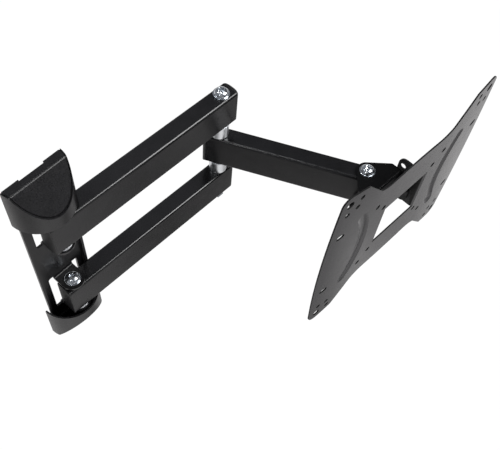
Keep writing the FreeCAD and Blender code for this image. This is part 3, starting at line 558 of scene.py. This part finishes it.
def make_shade_webs(material):
    """Dark webs of the two wall caps, in front of the wall slots, as painted shade: they close the view through
    the slots.
    """
    for name, cap in (("top_cap_shade_web", "top_cap"), ("bottom_cap_shade_web", "bottom_cap")):
        low, high, _ = box_of(cap)
        side = 1 if high.z > 0 else -1
        outer = max(abs(low.z), abs(high.z)) - WEB_END_GAP
        size = Vector((2 * WEB_HALF_WIDTH, WEB_BACK - WEB_FRONT, outer - WEB_INNER))
        middle = Vector((0.0, (WEB_BACK + WEB_FRONT) / 2, side * (outer + WEB_INNER) / 2))
        shape = bmesh.new()
        bmesh.ops.create_cube(shape, size=1.0)
        for vertex in shape.verts:
            vertex.co = Vector(a * b for a, b in zip(vertex.co, size)) + middle
        bmesh.ops.bevel(shape, geom=list(shape.edges), offset=WEB_EDGE, segments=2,
                        affect="EDGES", profile=0.5)
        add_piece(name, [shape], TURNED_CREASE, material, "wall")


def make_bolts(material):
    for name, node, body in (("shoulder_dome_bolts", "shoulder_bolts", "wall"),
                             ("elbow_dome_bolt", "elbow_bolt", "arm_pair"),
                             ("swivel_dome_bolt", "swivel_bolt", "head")):
        low, high, middle = box_of(node)
        tops = [high.z]
        if node == "shoulder_bolts":
            tops.append(high.z - 2 * arm_height())
        length = tops[-1] - low.z
        shapes = [moved(bolt_shape(length), middle.x, middle.y, top - DOME_HEIGHT)
                  for top in tops]
        piece = add_piece(name, shapes, TURNED_CREASE, material, body)
        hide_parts(node)


def make_washers(material):
    """Washers above and below each arm at the shoulder."""
    tube_low, tube_high, _ = box_of("upper_arm_tube")
    inner_face = (tube_high.z - tube_low.z) / 2 + WASHER_OFF_TUBE
    _, high, middle = box_of("shoulder_thrust_washers")
    outer_face = high.z - arm_height()
    shapes = []
    for arm in (arm_height(), -arm_height()):
        for side in (1, -1):
            bottom, top = sorted((arm + side * inner_face, arm + side * outer_face))
            shape = sleeve_shape(WASHER_RADIUS, WASHER_EDGE, bottom, top)
            shapes.append(moved(shape, middle.x, middle.y))
    piece = add_piece("shoulder_plain_washers", shapes, TURNED_CREASE, material,
                      "wall")
    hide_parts("shoulder_thrust_washers")


def make_spacers(material):
    """Spacer sleeves above and below the forearm at the elbow."""
    for name, node in (("upper_spacer_sleeve", "upper_elbow_spacer"),
                       ("lower_spacer_sleeve", "lower_elbow_spacer")):
        low, high, middle = box_of(node)
        shape = sleeve_shape(SPACER_RADIUS, SPACER_EDGE, low.z, high.z)
        piece = add_piece(name, [moved(shape, middle.x, middle.y)], TURNED_CREASE, material,
                          "arm_pair")
        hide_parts(node)


# ---------------------------------------------------------------- stage
def make_camera():
    azimuth = math.radians(CAMERA_AZIMUTH)
    elevation = math.radians(CAMERA_ELEVATION)
    roll = math.radians(CAMERA_ROLL)
    back = Vector((math.sin(azimuth) * math.cos(elevation),
                   -math.cos(azimuth) * math.cos(elevation),
                   math.sin(elevation)))
    right = (-back).cross(Vector((0, 0, 1))).normalized()
    up = right.cross(-back)
    across = right * math.cos(roll) + up * math.sin(roll)
    upward = up * math.cos(roll) - right * math.sin(roll)
    data = bpy.data.cameras.new("camera")
    data.lens = CAMERA_LENS
    data.sensor_width = SENSOR_WIDTH
    data.clip_start = CLIP_START
    camera = bpy.data.objects.new("camera", data)
    rotation = Matrix((across, upward, back)).transposed().to_4x4()
    camera.matrix_world = Matrix.Translation(CAMERA_PLACE) @ rotation
    bpy.context.scene.collection.objects.link(camera)
    bpy.context.scene.camera = camera


def add_stage(mesh, material):
    """Part of the stage. Reflections show the graded surroundings instead of it."""
    mesh.materials.append(material)
    backing = bpy.data.objects.new(mesh.name, mesh)
    bpy.context.scene.collection.objects.link(backing)
    backing.visible_glossy = False
    return backing


def make_floor():
    low, high = (Vector(corner) for corner in cad_box)
    centre = (low + high) / 2
    corners = [(centre.x + FLOOR_REACH * x, centre.y + FLOOR_REACH * y, low.z - FLOOR_DROP)
               for x, y in ((-1, -1), (1, -1), (1, 1), (-1, 1))]
    mesh = bpy.data.meshes.new("floor")
    mesh.from_pydata(corners, [], [(0, 1, 2, 3)])
    glow = glowing("floor", FLOOR_BASE, roughness=0.9, specular=0.1, tone=FLOOR_TONE)
    add_stage(mesh, glow)


def make_backdrop():
    sphere = bmesh.new()
    bmesh.ops.create_uvsphere(sphere, u_segments=48, v_segments=24, radius=BACKDROP_RADIUS)
    mesh = bpy.data.meshes.new("backdrop")
    sphere.to_mesh(mesh)
    sphere.free()
    glow = glowing("backdrop", 0.0, roughness=1.0, specular=0.0, tone=BACKDROP_TONE)
    backdrop = add_stage(mesh, glow)
    backdrop.visible_diffuse = False
    backdrop.visible_shadow = False


def make_world():
    """Soft surroundings: a bright sweep below with one dark patch, and a dimmer sky above."""
    world = bpy.data.worlds.new("studio")
    bpy.context.scene.world = world
    world.use_nodes = True
    n = Nodes(world.node_tree)
    split = n.add("ShaderNodeSeparateXYZ")
    n.feed(split.inputs["Vector"], n.add("ShaderNodeTexCoord").outputs["Generated"])
    across, away, height = split.outputs
    before = n.smooth(away, PATCH_Y - PATCH_REACH, PATCH_Y)
    past = n.smooth(away, PATCH_Y, PATCH_Y + PATCH_REACH)
    in_reach = n.math("MULTIPLY", before, n.math("SUBTRACT", 1.0, past))
    patch = n.math("MULTIPLY", in_reach, n.smooth(across, PATCH_START, PATCH_FULL))
    sweep = n.mix(patch, n.ramp(across, SWEEP_TONES, SWEEP_TINT), (0.0, 0.0, 0.0))
    sky = n.ramp(across, SKY_TONES, SKY_TINT)
    background = n.tree.nodes["Background"]
    n.feed(background.inputs["Color"],
           n.mix(n.smooth(height, -HORIZON_BLEND, HORIZON_BLEND), sweep, sky))
    background.inputs["Strength"].default_value = 1.0


def make_lights():
    for name, (place, aim, width, depth, power) in LIGHTS.items():
        data = bpy.data.lights.new(name, "AREA")
        data.shape = "RECTANGLE"
        data.size = width
        data.size_y = depth
        data.energy = power
        light = bpy.data.objects.new(name, data)
        light.location = place
        facing = Vector(aim) - Vector(place)
        light.rotation_euler = facing.to_track_quat("-Z", "Y").to_euler()
        light.visible_camera = False
        bpy.context.scene.collection.objects.link(light)


materials = make_materials()
finish_nodes(materials)
finish_plate_edges(materials)
make_elbow_noses(materials["plug"])
make_shade_webs(materials["cap"])
make_bolts(materials["chrome"])
make_washers(materials["washer"])
make_spacers(materials["satin"])
make_camera()
make_floor()
make_backdrop()
make_world()
make_lights()
bpy.context.scene.view_settings.view_transform = "Standard"
